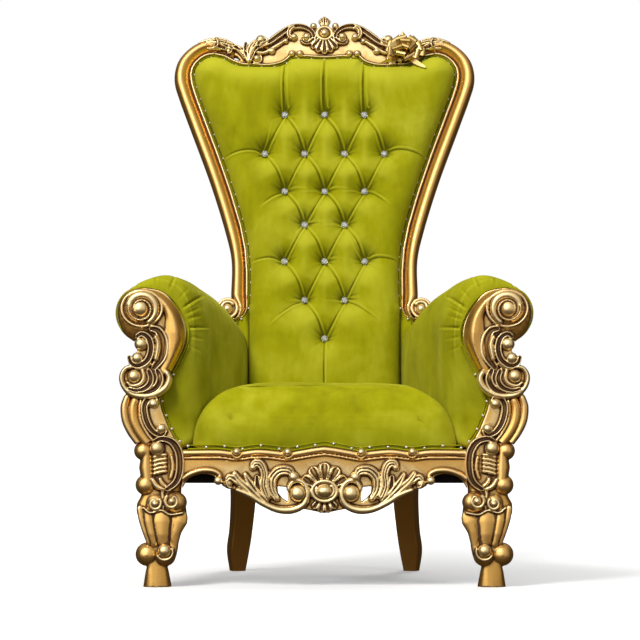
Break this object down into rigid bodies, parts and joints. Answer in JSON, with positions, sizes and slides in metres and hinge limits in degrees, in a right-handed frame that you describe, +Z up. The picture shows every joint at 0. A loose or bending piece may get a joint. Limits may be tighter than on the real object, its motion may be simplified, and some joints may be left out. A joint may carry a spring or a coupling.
{
  "type": "throne",
  "caption": "High-backed throne armchair with a carved gilt frame, pierced crest and apron, scrolled arm fronts, crystal-buttoned green velvet back and a ribbon bow.",
  "frame": {"origin": "on the floor, under the middle of the chair's overall box", "axes": "+Z up, the sitter faces -Y, +X to the right of someone who looks at the front"},
  "size_m": [1.106, 0.8072, 1.6125],
  "materials": {
    "gilt": "carved wood, gold leaf paint with red-brown glaze in the recesses, satin gloss",
    "dark_gilt": "plain wood in darker gold paint, satin",
    "velvet": "lime green plush velvet",
    "crystal": "clear faceted crystal, polished",
    "ribbon": "metallised gold ribbon, glossy",
    "dust_cloth": "black woven dust cloth over board"
  },
  "bodies": {
    "root": {"crest_rail": "gilt", "back_stile_right": "gilt", "back_stile_left": "gilt", "front_leg_right": "gilt", "front_leg_left": "gilt", "arm_front_right": "gilt", "arm_front_left": "gilt", "front_rail": "gilt", "side_rail_right": "gilt", "side_rail_left": "gilt", "rear_leg_right": "dark_gilt", "rear_leg_left": "dark_gilt", "rear_rail": "dark_gilt", "back_cushion": "velvet", "back_panel": "velvet", "arm_pad_right": "velvet", "arm_pad_left": "velvet", "seat_cushion": "velvet", "gift_bow": "ribbon", "dust_cover": "dust_cloth", "crystal_button_1_1": "crystal", "crystal_button_1_2": "crystal", "crystal_button_1_3": "crystal", "crystal_button_2_1": "crystal", "crystal_button_2_2": "crystal", "crystal_button_2_3": "crystal", "crystal_button_2_4": "crystal", "crystal_button_3_1": "crystal", "crystal_button_3_2": "crystal", "crystal_button_3_3": "crystal", "crystal_button_4_1": "crystal", "crystal_button_4_2": "crystal", "crystal_button_5_1": "crystal", "crystal_button_5_2": "crystal", "crystal_button_5_3": "crystal", "crystal_button_6_1": "crystal", "crystal_button_6_2": "crystal", "crystal_button_7_1": "crystal"}
  },
  "joints": []
}
